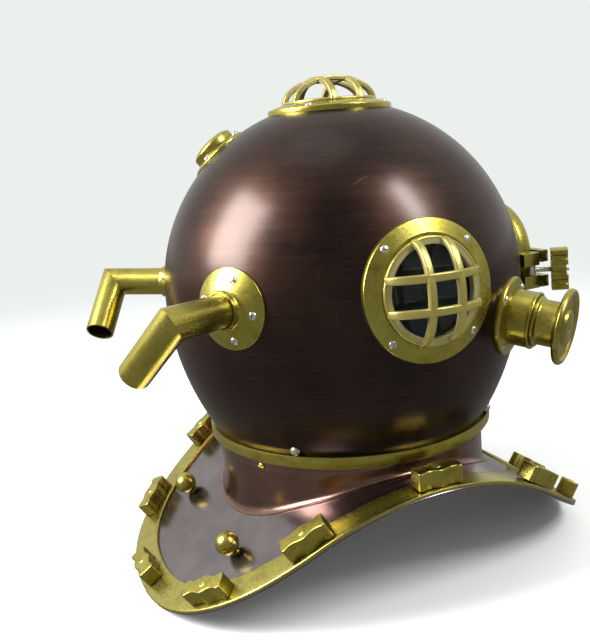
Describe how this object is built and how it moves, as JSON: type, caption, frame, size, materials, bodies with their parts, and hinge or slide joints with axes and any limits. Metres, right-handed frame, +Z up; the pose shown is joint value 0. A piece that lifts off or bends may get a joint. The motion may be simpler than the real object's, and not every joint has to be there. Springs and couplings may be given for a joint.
{
  "type": "diving helmet",
  "caption": "Copper diving helmet with grilled brass windows, hinged front door, bent air elbows, exhaust valve and saddle breastplate held by wing nuts.",
  "frame": {"origin": "centre of the neck joint on the helmet's upright axis, level with the underside of the bonnet's neck ring", "axes": "+Z up, -Y out of the front window, -X toward the wearer's right side and the exhaust valve"},
  "size_m": [0.3436, 0.4133, 0.4026],
  "materials": {
    "bonnet_copper": "satin dark red-brown copper patina",
    "plate_copper": "satin mauve-brown copper patina",
    "collar_copper": "satin brown copper patina",
    "antique_brass": "satin antique brass",
    "screw_steel": "bright plated steel",
    "gasket_rubber": "matte black",
    "window_glass": "clear plate glass"
  },
  "bodies": {
    "breastplate": {"breastplate_sheet": "plate_copper", "collar": "collar_copper", "lower_neck_ring": "antique_brass", "neck_gasket": "gasket_rubber", "collar_screws": "antique_brass", "brail_front_right": "antique_brass", "brail_front_left": "antique_brass", "brail_rear_left": "antique_brass", "brail_rear_right": "antique_brass", "brail_studs": "screw_steel", "lashing_balls": "antique_brass"},
    "bonnet": {"bonnet_shell": "bonnet_copper", "upper_neck_ring": "antique_brass", "neck_ring_screws": "screw_steel", "top_window_frame": "antique_brass", "right_window_frame": "antique_brass", "left_window_frame": "antique_brass", "top_window_guard": "antique_brass", "right_window_guard": "antique_brass", "left_window_guard": "antique_brass", "top_window_glass": "window_glass", "right_window_glass": "window_glass", "left_window_glass": "window_glass", "window_gaskets": "gasket_rubber", "window_screws": "screw_steel", "right_elbow_flange": "antique_brass", "left_elbow_flange": "antique_brass", "right_elbow": "antique_brass", "left_elbow": "antique_brass", "fitting_screws": "screw_steel", "rear_cap_flange": "antique_brass", "rear_cap": "antique_brass", "exhaust_body": "antique_brass", "exhaust_barrel": "antique_brass", "exhaust_spring": "screw_steel", "front_window_frame": "antique_brass", "front_gasket": "gasket_rubber", "door_pins": "screw_steel"},
    "door": {"front_door": "antique_brass", "front_door_glass": "window_glass", "glass_retainer": "antique_brass"},
    "latch_bolt": {"swing_bolt": "screw_steel"},
    "latch_nut": {"latch_wing_nut": "antique_brass"},
    "exhaust_wheel": {"exhaust_handwheel": "antique_brass"},
    "exhaust_valve": {"exhaust_disc": "antique_brass"},
    "nut_1": {"wing_nut_1": "antique_brass"},
    "nut_2": {"wing_nut_2": "antique_brass"},
    "nut_3": {"wing_nut_3": "antique_brass"},
    "nut_4": {"wing_nut_4": "antique_brass"},
    "nut_5": {"wing_nut_5": "antique_brass"},
    "nut_6": {"wing_nut_6": "antique_brass"},
    "nut_7": {"wing_nut_7": "antique_brass"},
    "nut_8": {"wing_nut_8": "antique_brass"},
    "nut_9": {"wing_nut_9": "antique_brass"},
    "nut_10": {"wing_nut_10": "antique_brass"},
    "nut_11": {"wing_nut_11": "antique_brass"},
    "nut_12": {"wing_nut_12": "antique_brass"}
  },
  "joints": [
    {"name": "bonnet_twist", "type": "hinge", "parent": "breastplate", "child": "bonnet", "pos_m": [0, 0, 0], "axis": [0, 0, 1], "range_deg": [0, 45]},
    {"name": "door_hinge", "type": "hinge", "parent": "bonnet", "child": "door", "pos_m": [0.056, -0.1579, 0.12651], "axis": [0, 0.0349, 0.9994], "range_deg": [0, 110]},
    {"name": "latch_swing", "type": "hinge", "parent": "bonnet", "child": "latch_bolt", "pos_m": [-0.057, -0.15675, 0.11647], "axis": [0, -0.0349, -0.9994], "range_deg": [-36, 50]},
    {"name": "latch_nut_turn", "type": "hinge", "parent": "latch_bolt", "child": "latch_nut", "pos_m": [-0.057, -0.15675, 0.11647], "axis": [-0.5878, -0.8085, 0.0282], "continuous": true},
    {"name": "exhaust_wheel_turn", "type": "hinge", "parent": "bonnet", "child": "exhaust_wheel", "pos_m": [-0.15372, -0.10764, 0.09128], "axis": [-0.8091, -0.5665, -0.1564], "range_deg": [-180, 180]},
    {"name": "exhaust_valve_lift", "type": "slide", "parent": "bonnet", "child": "exhaust_valve", "axis": [-0.8091, -0.5665, -0.1564], "range_m": [0, 0.0025]},
    {"name": "nut_1_turn", "type": "hinge", "parent": "breastplate", "child": "nut_1", "pos_m": [0.145, 0, -0.014], "axis": [0, 0, 1], "continuous": true},
    {"name": "nut_2_turn", "type": "hinge", "parent": "breastplate", "child": "nut_2", "pos_m": [0.13276, 0.09585, -0.04147], "axis": [0, 0.5296, 0.8483], "continuous": true},
    {"name": "nut_3_turn", "type": "hinge", "parent": "breastplate", "child": "nut_3", "pos_m": [0.09159, 0.1607, -0.08385], "axis": [0, 0.5476, 0.8368], "continuous": true},
    {"name": "nut_4_turn", "type": "hinge", "parent": "breastplate", "child": "nut_4", "pos_m": [0, 0.1895, -0.1027], "axis": [0, 0.5476, 0.8368], "continuous": true},
    {"name": "nut_5_turn", "type": "hinge", "parent": "breastplate", "child": "nut_5", "pos_m": [-0.09159, 0.1607, -0.08385], "axis": [0, 0.5476, 0.8368], "continuous": true},
    {"name": "nut_6_turn", "type": "hinge", "parent": "breastplate", "child": "nut_6", "pos_m": [-0.13276, 0.09585, -0.04147], "axis": [0, 0.5296, 0.8483], "continuous": true},
    {"name": "nut_7_turn", "type": "hinge", "parent": "breastplate", "child": "nut_7", "pos_m": [-0.145, 0, -0.014], "axis": [0, 0, 1], "continuous": true},
    {"name": "nut_8_turn", "type": "hinge", "parent": "breastplate", "child": "nut_8", "pos_m": [-0.13276, -0.09585, -0.04147], "axis": [0, -0.5296, 0.8483], "continuous": true},
    {"name": "nut_9_turn", "type": "hinge", "parent": "breastplate", "child": "nut_9", "pos_m": [-0.09159, -0.1607, -0.08385], "axis": [0, -0.5476, 0.8368], "continuous": true},
    {"name": "nut_10_turn", "type": "hinge", "parent": "breastplate", "child": "nut_10", "pos_m": [0, -0.1895, -0.1027], "axis": [0, -0.5476, 0.8368], "continuous": true},
    {"name": "nut_11_turn", "type": "hinge", "parent": "breastplate", "child": "nut_11", "pos_m": [0.09159, -0.1607, -0.08385], "axis": [0, -0.5476, 0.8368], "continuous": true},
    {"name": "nut_12_turn", "type": "hinge", "parent": "breastplate", "child": "nut_12", "pos_m": [0.13276, -0.09585, -0.04147], "axis": [0, -0.5296, 0.8483], "continuous": true}
  ]
}
